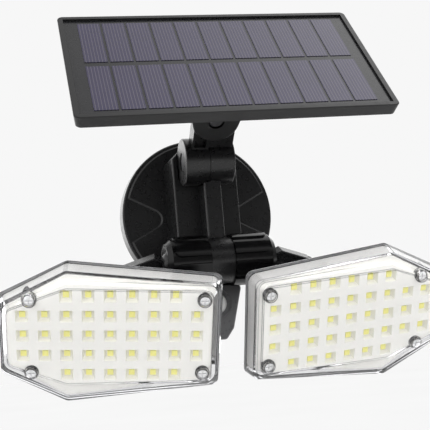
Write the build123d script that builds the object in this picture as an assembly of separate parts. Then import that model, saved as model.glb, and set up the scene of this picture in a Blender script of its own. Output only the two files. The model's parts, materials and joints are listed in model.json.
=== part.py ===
from build123d import *
import os
from math import asin, cos, degrees, radians, sin, sqrt

# Solar security light: round wall base with a pillar, a hinged solar panel, two flood heads on ball
# joints and a motion sensor. Millimetres, +Z up, the front faces -Y and the wall is the plane y = 0.

# Clearances
RUN_GAP = 0.06  # radial gap of a bolt that turns in its hole
MOVE_GAP = 0.3  # gap between pieces that move against each other
FIT_GAP = 0.1  # gap between pieces that are assembled and stay put

# Wall base
BASE_R = 46.7  # at the wall
BASE_DRAFT = 0.5  # how much the disc narrows toward its front
BASE_DEPTH = 12.0
BASE_WALL = 2.6
BASE_FACE = 3.0
BASE_EDGE_FILLET = 1.4
PLATEAU_MARGIN = 3.0  # width of the lower band round the raised middle of the disc
PLATEAU_STEP = 1.0
SCALLOP_INSET = 17.8  # centre of each recess's round end, inward from the disc's front rim
SCALLOP_APEX_R = 5.2
SCALLOP_ANGLE = 28.0
SCALLOP_DROP = 1.2
SEAL_DEPTH = 1.0
SEAL_WIDTH = 2.2
SEAL_INSET = 0.5
PLATE_DEPTH = 2.5
PLATE_RING_GAP = 0.6  # room between the plate's ring and the inside of the disc
PLATE_RING_WALL = 2.6
WALL_HOLE_R = 2.25
WALL_HOLE_SPACING = 60.0
SET_SCREW_R = 2.0
SET_SCREW_ANGLES = (-52.0, -128.0)

# Pillar, made to fit round the cell and the switch
PILLAR_WALL = 2.6
PILLAR_FACE = 5.6
PILLAR_DRAFT = 1.0  # how much each side spreads toward the disc
PILLAR_CHAMFER = 4.0
PILLAR_FILLET = 1.3
RIB_HALF = 5.0
RIB_RISE = 16.5
RIB_FILLET = 1.5

# Battery, boards and button inside the pillar
BATTERY_R = 9.2
BATTERY_L = 65.0
BATTERY_Z = -4.2
BATTERY_EDGE = 0.6
BATTERY_CAP_R = 3.2
BATTERY_CAP_H = 1.4
HOLDER_THICK = 1.8
HOLDER_SIDE = 0.4  # how far the holder reaches past the cell on each side
HOLDER_BACK = 2.0
HOLDER_FOOT_H = 2.8
HOLDER_FOOT_Z = 15.0
HOLDER_FOOT_HALF = 4.0
ROOM_LEFT = 2.8  # free room inside the pillar beside, above, below and in front of the cell
ROOM_TOP = 1.2
ROOM_LOW = 3.8
ROOM_FRONT = 1.6
BOARD_THICK = 1.6
BOARD_HALF_X = 24.0
BOARD_RING_GAP = 2.5
BOARD_PLATE_GAP = 0.9  # room between the board's screw heads and the wall plate
BOARD_SCREW_INSET_X = 3.0
BOARD_SCREW_INSET_Z = 4.0
BOARD_BOSS_R = 3.2
SMALL_SCREW_R = 1.2
SMALL_SCREW_HEAD_R = 2.3
SMALL_SCREW_HEAD = 1.5
SMALL_SCREW_L = 5.2
BUTTON_R = 4.0
BUTTON_SETBACK = 15.5  # button's axis behind the pillar's front
BUTTON_Z = 10.0
BUTTON_PROUD = 1.6
BUTTON_EDGE = 0.8
BUTTON_STEM = 0.9
BUTTON_FLANGE_R = 5.2
BUTTON_FLANGE = 1.5
BUTTON_TRAVEL = 0.8
SWITCH_BOARD_GAP = 1.4
SWITCH_BOARD_THICK = 1.2
SWITCH_BOARD_HALF_Z = 8.0
SWITCH_SIZE = 6.0
SWITCH_H = 3.4
SWITCH_PLUNGER_R = 1.7
SWITCH_PLUNGER = 1.2

# Barrel hinge of the panel
HINGE_DROP = 8.5  # hinge axis below the pillar's top
BARREL_R = 13.5
BARREL_SINK = 2.5  # how far the barrel sinks into the pillar's front
BARREL_LEFT = -15.5
BARREL_RIGHT = 12.7
BARREL_SEAM = -1.8
BARREL_FILLET = 0.8
SADDLE_GAP = 0.6  # room round the barrel where it turns in the pillar
KNUCKLE_BLEND = 1.5  # the fixed knuckle's block starts this far above the barrel's lowest line
BOLT_R = 3.0
NUT_FLATS = 10.0
NUT_HEIGHT = 5.0
NUT_RECESS = 0.6  # how far the hinge nut lies below the end of the barrel
HEX_HEAD_HEIGHT = 4.0

# Link between the hinge and the panel's ear
PANEL_TILT = 50.1
TONGUE_LEFT = -12.0
TONGUE_RIGHT = 11.2
TONGUE_FRONT = -4.8  # front face of the tongue, measured up the slope from the hinge axis
TONGUE_THICK = 8.8
TONGUE_SEAM_GAP = 0.6  # the tongue reaches down to its knuckle up to this far from the seam
TONGUE_POCKET_W = 6.6
TONGUE_POCKET_H = 10.6
TONGUE_POCKET_DEPTH = 3.0
TONGUE_POCKET_LIP = 1.2
ROLL_X = -1.6  # roll bolt beside the panel's middle
ROLL_HEIGHT = 35.0  # roll bolt above the hinge axis, along the panel's normal

# Ear and bracket under the panel
EAR_R = 13.1
EAR_THICK = 5.0
EAR_FLARE_HALF = 19.0
EAR_FILLET = 0.8
BOLT_RECESS_DEPTH = 3.0
BOLT_RECESS_GAP = 0.4
BOLT_HEAD_R = 4.1
BOLT_HEAD_HEIGHT = 2.4
FLANGE_HALF_X = 27.0
FLANGE_FRONT = -20.0
FLANGE_REAR = 8.0
FLANGE_THICK = 4.0
FLANGE_SCREW_INSET_X = 5.0
FLANGE_SCREW_INSET_Y = 4.5

# Solar panel
PANEL_ROLL = -1.1  # rest turn of the panel about the roll bolt, in degrees
PANEL_W = 164.9
PANEL_D = 93.8
PANEL_H = 6.6
PANEL_TOP = 68.0  # panel's top face above the hinge axis, along the panel's normal
PANEL_SHIFT = 0.1  # panel's centre from the hinge axis, along the panel's slope
PANEL_OFFSET_X = 0.7
PANEL_RIM = 3.0
PANEL_CORNER = 3.0
PANEL_DRAFT = 1.0
PANEL_EDGE = 0.6
PANEL_RECESS = 1.2
LAMINATE_THICK = 2.4
CELL_COLUMNS = 11
CELL_MARGIN_X = 7.3
CELL_MARGIN_Y = 3.7
CELL_GAP = 1.3
CELL_ROW_GAP = 4.0
CELL_THICK = 0.3

# Ball joints, lock collars and cross hub
BALL_X = 24.0
BALL_R = 9.0
BALL_GAP = 0.2
CUP_WALL = 1.5
CUP_BACK = 0.6
CUP_FRONT_GAP = 0.6
CUP_HOLE_R = 4.0
COLLAR_WALL = 2.4
COLLAR_REACH = 6.6  # mouth of the collar, outward from the ball's centre
COLLAR_LIP = 3.6
COLLAR_NOSE_L = 2.6
COLLAR_NOSE_R = 2.4
COLLAR_GAP = 0.6  # room between the collar's ribs and the pillar
COLLAR_RIBS = 8
COLLAR_RIB_W = 6.8
COLLAR_RIB_BAND = 1.4  # plain band between the ribs and the nose
COLLAR_RIB_RISE = 1.2
MOUTH_INSET = 0.6  # how much narrower than the ball the mouth is
MOUTH_FLARE = 1.6
HUB_RISE = 13.0  # hub's axis above the pillar's bottom
HUB_HALF = 6.5
HUB_INSET = 0.4
HUB_NECK_HALF_Z = 10.5

# Arms of the heads: the section has a flat top, upright sides and a narrower underside
ARM_DROP = 14.0  # fall of the arm from the hub axis, in degrees
ARM_START = 5.0
ARM_ROOT = 11.0
ARM_END = 30.0
ARM_NECK_HALF = 3.2
ARM_ROOT_HALF = 7.2
ARM_TIP_HALF = 4.4
ARM_HALF_W = 4.2
ARM_NECK_HALF_W = 3.0
ARM_SIDE = 0.45  # upright part of the sides, as a share of the section's height
ARM_UNDER = 0.5  # underside's width as a share of the top's
ARM_EDGE = 0.9
ARM_ELBOW_R = 4.6
ARM_FLANGE_X = 36.0
ARM_FLANGE_Z = -13.0
ARM_FLANGE_R = 11.0
ARM_FLANGE_THICK = 4.0
ARM_SCREWS = 3
ARM_SCREW_CIRCLE = 7.6
ARM_SCREW_R = 1.3
ARM_SCREW_HEAD_R = 2.4
ARM_SCREW_HEAD = 1.6
ARM_SCREW_LENGTH = 5.0

# Rest pose of the heads: swivel, tilt and roll of each, in degrees
LEFT_POSE = (-11.3, 27.8, 5.6)
RIGHT_POSE = (4.6, 28.4, -3.8)

# Flood heads, in a frame with u outward, w up and q forward from the LED plane
HEAD_SIDE_GAP = 1.4  # inner edge of an unturned head from the light's middle plane
LED_FORWARD = 45.0
LED_DROP = 19.8
LED_PITCH = 11.0
LED_SIZE = 3.0
LED_H = 0.8
LED_ROWS = 5
LONG_ROW_COLUMNS = 9
SHORT_ROW_COLUMNS = 6  # in the first and the last row
SHORT_ROW_SKIP = 1  # columns that the short rows leave free at the inner side

# Head outlines, as margins round the LEDs: inner and outer side, then above and below the rows at the
# inner side, the vertex and the outer side, where the LEDs end one row earlier
FLANGE_MARGINS = ((13.3, 13.0), (8.6, 15.5, 8.0), (7.0, 16.6, 10.0))
SHOULDER_MARGINS = ((11.8, 11.2), (7.6, 13.9, 7.0), (5.6, 15.3, 9.0))
CREASE_MARGINS = ((10.2, 9.6), (6.9, 9.5, 5.5), (4.4, 12.0, 7.2))
PANE_MARGINS = ((7.8, 7.5), (3.8, 4.8, 4.0), (2.6, 4.4, 4.4))
REFLECTOR_MARGINS = ((6.4, 6.0), (4.2, 6.6, 4.2), (3.0, 6.6, 4.2))
FLANGE_Q = -6.0
SHOULDER_Q = 3.9
CREASE_Q = 5.5
PANE_Q = 6.8
HEAD_CORNER_R = 4.0
COVER_WALL = 2.2
COVER_PANE = 2.0
COVER_SCREW_INNER_OUT = 3.5  # inner cover screws beyond the last LED column
COVER_SCREW_INNER_LOW = 1.4  # inner cover screws inside the last LED row
COVER_SCREW_OUTER_IN = 4.0
COVER_SCREW_OUTER_LOW = 1.7
COVER_BOSS_R = 3.5
SCREW_R = 1.45
SCREW_HEAD_R = 2.7
SCREW_HEAD_H = 2.4
SCREW_HEAD_EDGE = 0.7
SCREW_HEAD_Q = 3.0
SCREW_LENGTH = 16.0
SCREW_SLOT = 0.7
SCREW_SLOT_HALF = 1.9
SCREW_SLOT_DEPTH = 1.1
SEAL_THICK = 1.0
BOARD_MARGIN = 4.6
REFLECTOR_PANE_GAP = 1.6
TRAY_TOP = 1.0  # upper face of the reflector's wide rim
TRAY_WALL = 1.2
TRAY_GAP = 0.3
POCKET_MARGIN = 0.8  # free ring round each LED at the bottom of its funnel
POCKET_FLARE = 0.9
SHELL_DEPTH = 17.5
SHELL_MARGIN = 0.8
SHELL_TAPER = 7.0
SHELL_WALL = 2.0
SHELL_BOSS_R = 3.0
SHELL_POST_R = 2.2

# Motion sensor
SENSOR_PROUD = 1.6  # sensor's front ahead of the pillar's
SENSOR_DISC_GAP = 3.0
SENSOR_TOP_INSET = 3.0
SENSOR_LOW_HALF = 9.3
SENSOR_SHOULDER = 24.8  # from the pillar's bottom down to the start of the lower taper
SENSOR_HEIGHT = 31.0
SENSOR_FLOOR_HALF = 4.6
SENSOR_WALL = 2.2
SENSOR_CORNER = 2.4
SENSOR_FILLET = 1.2
DOME_DROP = 10.2  # dome's centre below the pillar's bottom
DOME_R = 6.2
DOME_RISE = 4.2
DOME_WALL = 0.9
DOME_FLANGE_W = 1.8
DOME_FLANGE = 1.2
DISH_MARGIN = 2.4
DISH_DEPTH = 1.2
PIR_R = 4.6
PIR_H = 4.4
PIR_BRIM_W = 0.6
PIR_BRIM_H = 0.7
SENSOR_BOARD_INSET = 0.4
SENSOR_BOARD_THICK = 1.4
SENSOR_LEG_INSET = 1.0
SENSOR_LEG_HALF_X = 0.8
SENSOR_LEG_HALF_Z = 1.5
SENSOR_SCREW_X = 9.6
SENSOR_SCREW_SETBACK = 11.0
SENSOR_SCREW_L = 6.5
SENSOR_BOSS_END = 0.8
WIRE_HOLE_R = 3.0

# Places worked out from the sizes above: base and boards
FACE_Y = -BASE_DEPTH
INNER_FACE_Y = -(BASE_DEPTH - BASE_FACE)
BASE_FRONT_R = BASE_R - BASE_DRAFT
BASE_INNER_R = BASE_FRONT_R - BASE_WALL
PLATE_R = BASE_INNER_R - FIT_GAP
PLATE_INNER_R = PLATE_R - PLATE_RING_WALL
PLATE_RING_DEPTH = BASE_DEPTH - BASE_FACE - PLATE_RING_GAP
SET_SCREW_Y = (PLATE_DEPTH + PLATE_RING_DEPTH) / 2
BOARD_REAR_Y = -(PLATE_DEPTH + BOARD_PLATE_GAP + SMALL_SCREW_HEAD)
BOARD_FRONT_Y = BOARD_REAR_Y - BOARD_THICK
BOARD_HALF_Z = sqrt((PLATE_INNER_R - BOARD_RING_GAP) ** 2 - BOARD_HALF_X**2)
BOARD_SCREW_X = BOARD_HALF_X - BOARD_SCREW_INSET_X
BOARD_SCREW_Z = BOARD_HALF_Z - BOARD_SCREW_INSET_Z
BOARD_SCREWS = [(x, z) for x in (-BOARD_SCREW_X, BOARD_SCREW_X) for z in (-BOARD_SCREW_Z, BOARD_SCREW_Z)]

# Cell, switch and the pillar round them
HOLDER_HALF = BATTERY_R + HOLDER_SIDE
HOLDER_LOW = BATTERY_Z - BATTERY_L / 2 - FIT_GAP
HOLDER_HIGH = BATTERY_Z + BATTERY_L / 2 + FIT_GAP
BATTERY_Y = BOARD_FRONT_Y - HOLDER_FOOT_H - HOLDER_BACK - FIT_GAP - BATTERY_R
SWITCH_STACK = SWITCH_BOARD_THICK + SWITCH_H + SWITCH_PLUNGER
BUTTON_STACK = FIT_GAP + BUTTON_TRAVEL + BUTTON_STEM + BUTTON_FLANGE + MOVE_GAP
CAVITY_HALF = (ROOM_LEFT + 2 * HOLDER_HALF + SWITCH_BOARD_GAP + SWITCH_STACK + BUTTON_STACK) / 2
BATTERY_X = -CAVITY_HALF + ROOM_LEFT + HOLDER_HALF
SWITCH_BOARD_X = BATTERY_X + HOLDER_HALF + SWITCH_BOARD_GAP
SWITCH_TIP_X = SWITCH_BOARD_X + SWITCH_STACK
CAVITY_FRONT_Y = BATTERY_Y - BATTERY_R - ROOM_FRONT
CAVITY_BOTTOM = HOLDER_LOW - HOLDER_THICK - ROOM_LOW
CAVITY_TOP = HOLDER_HIGH + HOLDER_THICK + ROOM_TOP
PILLAR_Y = CAVITY_FRONT_Y - PILLAR_FACE
PILLAR_HALF_FRONT = CAVITY_HALF + PILLAR_WALL
PILLAR_HALF_REAR = PILLAR_HALF_FRONT + PILLAR_DRAFT
PILLAR_BOTTOM = CAVITY_BOTTOM - PILLAR_WALL
PILLAR_TOP = CAVITY_TOP + PILLAR_WALL
BUTTON_Y = PILLAR_Y + BUTTON_SETBACK

# Hinge, link, ear and panel
HINGE_Y = PILLAR_Y - BARREL_R + BARREL_SINK
HINGE_Z = PILLAR_TOP - HINGE_DROP
KNUCKLE_LEFT = BARREL_SEAM + MOVE_GAP / 2
KNUCKLE_RIGHT = BARREL_SEAM - MOVE_GAP / 2
NUT_LEFT = BARREL_LEFT + NUT_RECESS
HEAD_LEFT = BARREL_RIGHT - HEX_HEAD_HEIGHT - NUT_RECESS
TONGUE_FOOT = BARREL_R + MOVE_GAP
TONGUE_BACK = TONGUE_FRONT + TONGUE_THICK
TONGUE_X = (TONGUE_LEFT + TONGUE_RIGHT) / 2
EAR_BACK = TONGUE_FRONT - MOVE_GAP
EAR_FRONT = EAR_BACK - EAR_THICK
PANEL_BOTTOM = PANEL_TOP - PANEL_H
BRACKET_BOTTOM = PANEL_BOTTOM - FLANGE_THICK
LAMINATE_TOP = PANEL_TOP - PANEL_RECESS
LAMINATE_BOTTOM = LAMINATE_TOP - LAMINATE_THICK
PANEL_INNER_W = PANEL_W - 2 * PANEL_RIM
PANEL_INNER_D = PANEL_D - 2 * PANEL_RIM
CELL_W = (PANEL_INNER_W - 2 * CELL_MARGIN_X - (CELL_COLUMNS - 1) * CELL_GAP) / CELL_COLUMNS
CELL_L = (PANEL_INNER_D - 2 * CELL_MARGIN_Y - CELL_ROW_GAP) / 2

# Ball joints and hub
POST_R = BALL_R + BALL_GAP + CUP_WALL
COLLAR_BORE_R = POST_R + MOVE_GAP
COLLAR_R = COLLAR_BORE_R + COLLAR_WALL
COLLAR_START = HUB_HALF + MOVE_GAP - BALL_X
MOUTH_R = BALL_R - MOUTH_INSET
CUP_REAR = BALL_R + CUP_BACK
CUP_FRONT = COLLAR_REACH - COLLAR_LIP - CUP_FRONT_GAP
POST_END = BALL_X - CUP_REAR - MOVE_GAP
HUB_R = COLLAR_R - HUB_INSET
HUB_Y = PILLAR_Y - COLLAR_R - COLLAR_RIB_RISE - COLLAR_GAP
HUB_Z = PILLAR_BOTTOM + HUB_RISE

# Heads
GRID_U = LED_PITCH * (LONG_ROW_COLUMNS - 1) / 2
GRID_W = LED_PITCH * (LED_ROWS - 1) / 2
VERTEX_U = LED_PITCH * (SHORT_ROW_COLUMNS - 1 + SHORT_ROW_SKIP) - GRID_U
LED_OUT = GRID_U + FLANGE_MARGINS[0][0] + HEAD_SIDE_GAP - BALL_X
COVER_INNER_Q = SHOULDER_Q - COVER_PANE
REFLECTOR_THICK = PANE_Q - COVER_PANE - REFLECTOR_PANE_GAP
POCKET_FLOOR = LED_SIZE + 2 * POCKET_MARGIN
POCKET_TOP = POCKET_FLOOR + 2 * POCKET_FLARE
SHELL_TOP_Q = FLANGE_Q - SEAL_THICK
SHELL_FLOOR_Q = -SHELL_DEPTH
SHELL_INNER_Q = SHELL_FLOOR_Q + SHELL_WALL
SHELL_POST_U = LED_PITCH * (LONG_ROW_COLUMNS - 4) / 2
SHELL_POST_W = LED_PITCH * (LED_ROWS - 2) / 2
INNER_SCREW_U = -(GRID_U + COVER_SCREW_INNER_OUT)
INNER_SCREW_W = GRID_W - COVER_SCREW_INNER_LOW
OUTER_SCREW_U = GRID_U - COVER_SCREW_OUTER_IN
OUTER_SCREW_W = GRID_W - COVER_SCREW_OUTER_LOW
COVER_SCREWS = (
    (INNER_SCREW_U, INNER_SCREW_W),
    (INNER_SCREW_U, -INNER_SCREW_W),
    (OUTER_SCREW_U, OUTER_SCREW_W),
    (OUTER_SCREW_U, -OUTER_SCREW_W),
)

# Motion sensor
SENSOR_FRONT_Y = PILLAR_Y - SENSOR_PROUD
SENSOR_REAR_Y = FACE_Y - SENSOR_DISC_GAP
SENSOR_WALL_Y = SENSOR_FRONT_Y + SENSOR_WALL
SENSOR_TOP_HALF = PILLAR_HALF_FRONT - SENSOR_TOP_INSET
SENSOR_LOW_Z = PILLAR_BOTTOM - SENSOR_SHOULDER
SENSOR_BOTTOM = PILLAR_BOTTOM - SENSOR_HEIGHT
SENSOR_SEAT = PILLAR_BOTTOM - SENSOR_WALL
SENSOR_SCREW_Y = PILLAR_Y + SENSOR_SCREW_SETBACK
DOME_Z = PILLAR_BOTTOM - DOME_DROP
DOME_FLANGE_R = DOME_R + DOME_FLANGE_W
DOME_REAR_Y = SENSOR_WALL_Y + DOME_FLANGE
SENSOR_BOARD_HALF = DOME_FLANGE_R - SENSOR_BOARD_INSET
SENSOR_BOARD_FRONT_Y = DOME_REAR_Y + PIR_H + FIT_GAP


def block(x0, x1, y0, y1, z0, z1):
    """A box between two corners."""
    return Pos((x0 + x1) / 2, (y0 + y1) / 2, (z0 + z1) / 2) * Box(abs(x1 - x0), abs(y1 - y0), abs(z1 - z0))


def rod_x(radius, x0, x1, y=0, z=0):
    """A cylinder along X."""
    return Pos((x0 + x1) / 2, y, z) * Rot(0, 90, 0) * Cylinder(radius, abs(x1 - x0))


def rod_y(radius, y0, y1, x=0, z=0):
    """A cylinder along Y."""
    return Pos(x, (y0 + y1) / 2, z) * Rot(90, 0, 0) * Cylinder(radius, abs(y1 - y0))


def rod_z(radius, z0, z1, x=0, y=0):
    """A cylinder along Z."""
    return Pos(x, y, (z0 + z1) / 2) * Cylinder(radius, abs(z1 - z0))


def front_plane(y):
    """A plane at depth y that faces the viewer, with X to the right and Z up."""
    return Plane(origin=(0, y, 0), x_dir=(1, 0, 0), z_dir=(0, -1, 0))


def hex_x(flats, x0, x1, y=0, z=0):
    """A hexagonal prism along X."""
    face = RegularPolygon(radius=flats / 2, side_count=6, major_radius=False)
    return Pos(x0, y, z) * Rot(0, 90, 0) * extrude(face, amount=x1 - x0)


def rounded(points, radius):
    """A polygon with every corner rounded."""
    shape = Polygon(*points, align=None)
    return fillet(shape.vertices(), radius)


def one(shape):
    """The single solid of a shape."""
    return shape.solids()[0]


def set_screw_places():
    """Frames of the set screws, with Z pointing outward along the base's radius."""
    return [Pos(0, -SET_SCREW_Y, 0) * Rot(0, 90 - angle, 0) for angle in SET_SCREW_ANGLES]


# Wall base


def wall_plate():
    """Plate that stays on the wall, with a ring for the set screws."""
    plate = rod_y(PLATE_R, 0, -PLATE_DEPTH)
    ring = rod_y(PLATE_R, -PLATE_DEPTH, -PLATE_RING_DEPTH)
    ring -= rod_y(PLATE_INNER_R, -PLATE_DEPTH, -PLATE_RING_DEPTH)
    plate += ring
    for x in (-WALL_HOLE_SPACING / 2, WALL_HOLE_SPACING / 2):
        plate -= rod_y(WALL_HOLE_R, 0, -PLATE_DEPTH, x)
    for place in set_screw_places():
        plate -= place * rod_z(SET_SCREW_R + FIT_GAP / 2, PLATE_INNER_R - PLATE_RING_WALL, PLATE_R + FIT_GAP)
    return plate


def wall_seal():
    """Rubber ring between the housing's rear edge and the wall."""
    outer = BASE_R - SEAL_INSET
    return rod_y(outer, 0, -SEAL_DEPTH) - rod_y(outer - SEAL_WIDTH, 0, -SEAL_DEPTH)


def set_screws():
    """Two grub screws that hold the housing on the wall plate."""
    outer = BASE_FRONT_R - FIT_GAP
    screw = rod_z(SET_SCREW_R, PLATE_INNER_R, outer)
    socket = extrude(RegularPolygon(radius=SET_SCREW_R / 2, side_count=6), amount=SET_SCREW_R)
    screw -= Pos(0, 0, outer - SET_SCREW_R) * socket
    return Compound(children=[one(place * screw) for place in set_screw_places()])


def base_disc():
    """Shallow drum with a raised middle on its front face."""
    low = FACE_Y + PLATEAU_STEP
    plateau = BASE_FRONT_R - PLATEAU_MARGIN
    profile = Polygon(
        (0, -SEAL_DEPTH),
        (BASE_R, -SEAL_DEPTH),
        (BASE_FRONT_R, low),
        (plateau + PLATEAU_STEP, low),
        (plateau, FACE_Y),
        (0, FACE_Y),
        align=None,
    )
    rim = profile.vertices().sort_by_distance((BASE_FRONT_R, low))[0]
    return revolve(fillet(rim, BASE_EDGE_FILLET), Axis.Y)


def scallop():
    """Wedge-shaped recess with sloped walls that opens into the low band at the disc's right rim."""
    spread = radians(SCALLOP_ANGLE)
    apex_x = BASE_FRONT_R - SCALLOP_INSET
    end_x = BASE_R + SCALLOP_APEX_R

    def section(y, radius):
        start_x = apex_x - radius * sin(spread)
        start_z = radius * cos(spread)
        end_z = start_z + (end_x - start_x) * sin(spread) / cos(spread)
        wedge = Polygon((start_x, -start_z), (end_x, -end_z), (end_x, end_z), (start_x, start_z), align=None)
        wedge += Pos(apex_x, 0) * Circle(radius)
        return front_plane(y) * wedge

    floor = section(FACE_Y + PLATEAU_STEP, SCALLOP_APEX_R)
    mouth = section(FACE_Y - PLATEAU_STEP, SCALLOP_APEX_R + 2 * PLATEAU_STEP)
    return Pos(0, 0, -SCALLOP_DROP) * loft([floor, mouth], ruled=True)


def pillar():
    """Drafted column on the disc, with bevelled top corners."""
    def section(y, half):
        inner = half - PILLAR_CHAMFER
        low = PILLAR_TOP - PILLAR_CHAMFER
        points = [
            (-half, PILLAR_BOTTOM),
            (half, PILLAR_BOTTOM),
            (half, low),
            (inner, PILLAR_TOP),
            (-inner, PILLAR_TOP),
            (-half, low),
        ]
        return front_plane(y) * Polygon(*points, align=None)

    foot = INNER_FACE_Y - BASE_FACE / 2
    body = loft([section(foot, PILLAR_HALF_REAR), section(PILLAR_Y, PILLAR_HALF_FRONT)], ruled=True)
    return fillet(body.edges().group_by(Axis.Y)[0], PILLAR_FILLET)


def housing_outside():
    """Disc, pillar, rib, hinge knuckle and cross hub as one moulding."""
    body = base_disc()
    cut = scallop()
    body -= cut
    body -= mirror(cut, about=Plane.YZ)
    body += pillar()
    rib = block(-RIB_HALF, RIB_HALF, PILLAR_Y - RIB_RISE, PILLAR_Y + PILLAR_WALL, HUB_Z, HINGE_Z)
    body += fillet(rib.edges().filter_by(Axis.Z).group_by(Axis.Y)[0], RIB_FILLET)
    body -= rod_x(BARREL_R + SADDLE_GAP, BARREL_LEFT - SADDLE_GAP, KNUCKLE_LEFT, HINGE_Y, HINGE_Z)
    knuckle = rod_x(BARREL_R, KNUCKLE_LEFT, BARREL_RIGHT, HINGE_Y, HINGE_Z)
    body += fillet(knuckle.edges().group_by(Axis.X)[-1], BARREL_FILLET)
    knuckle_low = HINGE_Z - BARREL_R + KNUCKLE_BLEND
    body += block(KNUCKLE_LEFT, BARREL_RIGHT, HINGE_Y, CAVITY_FRONT_Y, knuckle_low, HINGE_Z)
    body += rod_x(HUB_R, -HUB_HALF, HUB_HALF, HUB_Y, HUB_Z)
    neck_low = HUB_Z - HUB_NECK_HALF_Z
    neck_high = HUB_Z + HUB_NECK_HALF_Z
    body += block(-HUB_HALF, HUB_HALF, HUB_Y, PILLAR_Y + PILLAR_WALL, neck_low, neck_high)
    return body + rod_x(POST_R, -POST_END, POST_END, HUB_Y, HUB_Z)


def front_housing():
    """Housing with its cavity, bosses and holes."""
    body = housing_outside()
    body -= rod_y(BASE_INNER_R, 0, INNER_FACE_Y)
    body -= block(-CAVITY_HALF, CAVITY_HALF, CAVITY_FRONT_Y, INNER_FACE_Y, CAVITY_BOTTOM, CAVITY_TOP)
    for x, z in BOARD_SCREWS:
        body += rod_y(BOARD_BOSS_R, BOARD_FRONT_Y, INNER_FACE_Y - BASE_FACE / 2, x, z)
        body -= rod_y(SMALL_SCREW_R, BOARD_FRONT_Y, BOARD_REAR_Y - SMALL_SCREW_L, x, z)
    body -= rod_x(BOLT_R + RUN_GAP, BARREL_SEAM, BARREL_RIGHT, HINGE_Y, HINGE_Z)
    body -= rod_x(NUT_FLATS / 2 / cos(radians(30)) + MOVE_GAP, HEAD_LEFT, BARREL_RIGHT, HINGE_Y, HINGE_Z)
    body -= rod_x(BUTTON_R + MOVE_GAP, CAVITY_HALF, PILLAR_HALF_REAR, BUTTON_Y, BUTTON_Z)
    for place in set_screw_places():
        body -= place * rod_z(SET_SCREW_R + FIT_GAP / 2, PLATE_R, BASE_R + BASE_WALL)
    screw_top = SENSOR_SEAT + SENSOR_SCREW_L
    for x in (-SENSOR_SCREW_X, SENSOR_SCREW_X):
        body += rod_z(2 * SCREW_R, PILLAR_BOTTOM, screw_top + SENSOR_BOSS_END, x, SENSOR_SCREW_Y)
        body -= rod_z(SCREW_R, PILLAR_BOTTOM, screw_top, x, SENSOR_SCREW_Y)
    return body - rod_z(WIRE_HOLE_R, PILLAR_BOTTOM, CAVITY_BOTTOM, 0, SENSOR_SCREW_Y)


# Battery, boards and button


def battery():
    """Cylindrical cell, upright in the pillar, with its contact cap on top."""
    cell = rod_z(BATTERY_R, BATTERY_Z - BATTERY_L / 2, BATTERY_Z + BATTERY_L / 2 - BATTERY_CAP_H)
    cell = fillet(cell.edges(), BATTERY_EDGE)
    cell += rod_z(BATTERY_CAP_R, BATTERY_Z, BATTERY_Z + BATTERY_L / 2)
    return Pos(BATTERY_X, BATTERY_Y, 0) * cell


def battery_holder():
    """Cradle on the board that grips the cell at both ends."""
    back_front = BATTERY_Y + BATTERY_R + FIT_GAP
    back_rear = back_front + HOLDER_BACK
    left = BATTERY_X - HOLDER_HALF
    right = BATTERY_X + HOLDER_HALF
    low = HOLDER_LOW - HOLDER_THICK
    high = HOLDER_HIGH + HOLDER_THICK
    body = block(left, right, back_front, back_rear, low, high)
    for z in (BATTERY_Z - HOLDER_FOOT_Z, BATTERY_Z + HOLDER_FOOT_Z):
        body += block(left, right, back_rear, BOARD_FRONT_Y, z - HOLDER_FOOT_HALF, z + HOLDER_FOOT_HALF)
    for z0, z1 in ((low, HOLDER_LOW), (HOLDER_HIGH, high)):
        body += block(left, right, BATTERY_Y - BATTERY_R / 2, back_front, z0, z1)
    return body


def control_board():
    """Main board on the housing's bosses, behind the cell."""
    body = block(-BOARD_HALF_X, BOARD_HALF_X, BOARD_FRONT_Y, BOARD_REAR_Y, -BOARD_HALF_Z, BOARD_HALF_Z)
    for x, z in BOARD_SCREWS:
        body -= rod_y(SMALL_SCREW_R + FIT_GAP, BOARD_FRONT_Y, BOARD_REAR_Y, x, z)
    return body


def board_screws():
    """Four small screws through the main board into its bosses."""
    screws = []
    for x, z in BOARD_SCREWS:
        screw = rod_y(SMALL_SCREW_R - FIT_GAP / 2, BOARD_REAR_Y, BOARD_REAR_Y - SMALL_SCREW_L + FIT_GAP, x, z)
        screw += rod_y(SMALL_SCREW_HEAD_R, BOARD_REAR_Y, BOARD_REAR_Y + SMALL_SCREW_HEAD, x, z)
        screws.append(one(screw))
    return Compound(children=screws)


def switch_board():
    """Small upright board beside the cell, soldered to the main board."""
    right = SWITCH_BOARD_X + SWITCH_BOARD_THICK
    front = BUTTON_Y - SWITCH_SIZE
    low = BUTTON_Z - SWITCH_BOARD_HALF_Z
    return block(SWITCH_BOARD_X, right, front, BOARD_FRONT_Y, low, BUTTON_Z + SWITCH_BOARD_HALF_Z)


def tact_switch():
    """Push switch behind the button."""
    left = SWITCH_BOARD_X + SWITCH_BOARD_THICK
    half = SWITCH_SIZE / 2
    body = block(left, left + SWITCH_H, BUTTON_Y - half, BUTTON_Y + half, BUTTON_Z - half, BUTTON_Z + half)
    return body + rod_x(SWITCH_PLUNGER_R, left, SWITCH_TIP_X, BUTTON_Y, BUTTON_Z)


def mode_button():
    """Round push button in the pillar's right wall, held by its flange."""
    wall_x = PILLAR_HALF_FRONT + PILLAR_DRAFT * BUTTON_SETBACK / (FACE_Y - PILLAR_Y)
    stem_left = SWITCH_TIP_X + FIT_GAP + BUTTON_TRAVEL
    cap = rod_x(BUTTON_R, stem_left, wall_x + BUTTON_PROUD, BUTTON_Y, BUTTON_Z)
    cap = fillet(cap.edges().group_by(Axis.X)[-1], BUTTON_EDGE)
    flange_right = CAVITY_HALF - MOVE_GAP
    return cap + rod_x(BUTTON_FLANGE_R, flange_right - BUTTON_FLANGE, flange_right, BUTTON_Y, BUTTON_Z)


# Motion sensor


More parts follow.
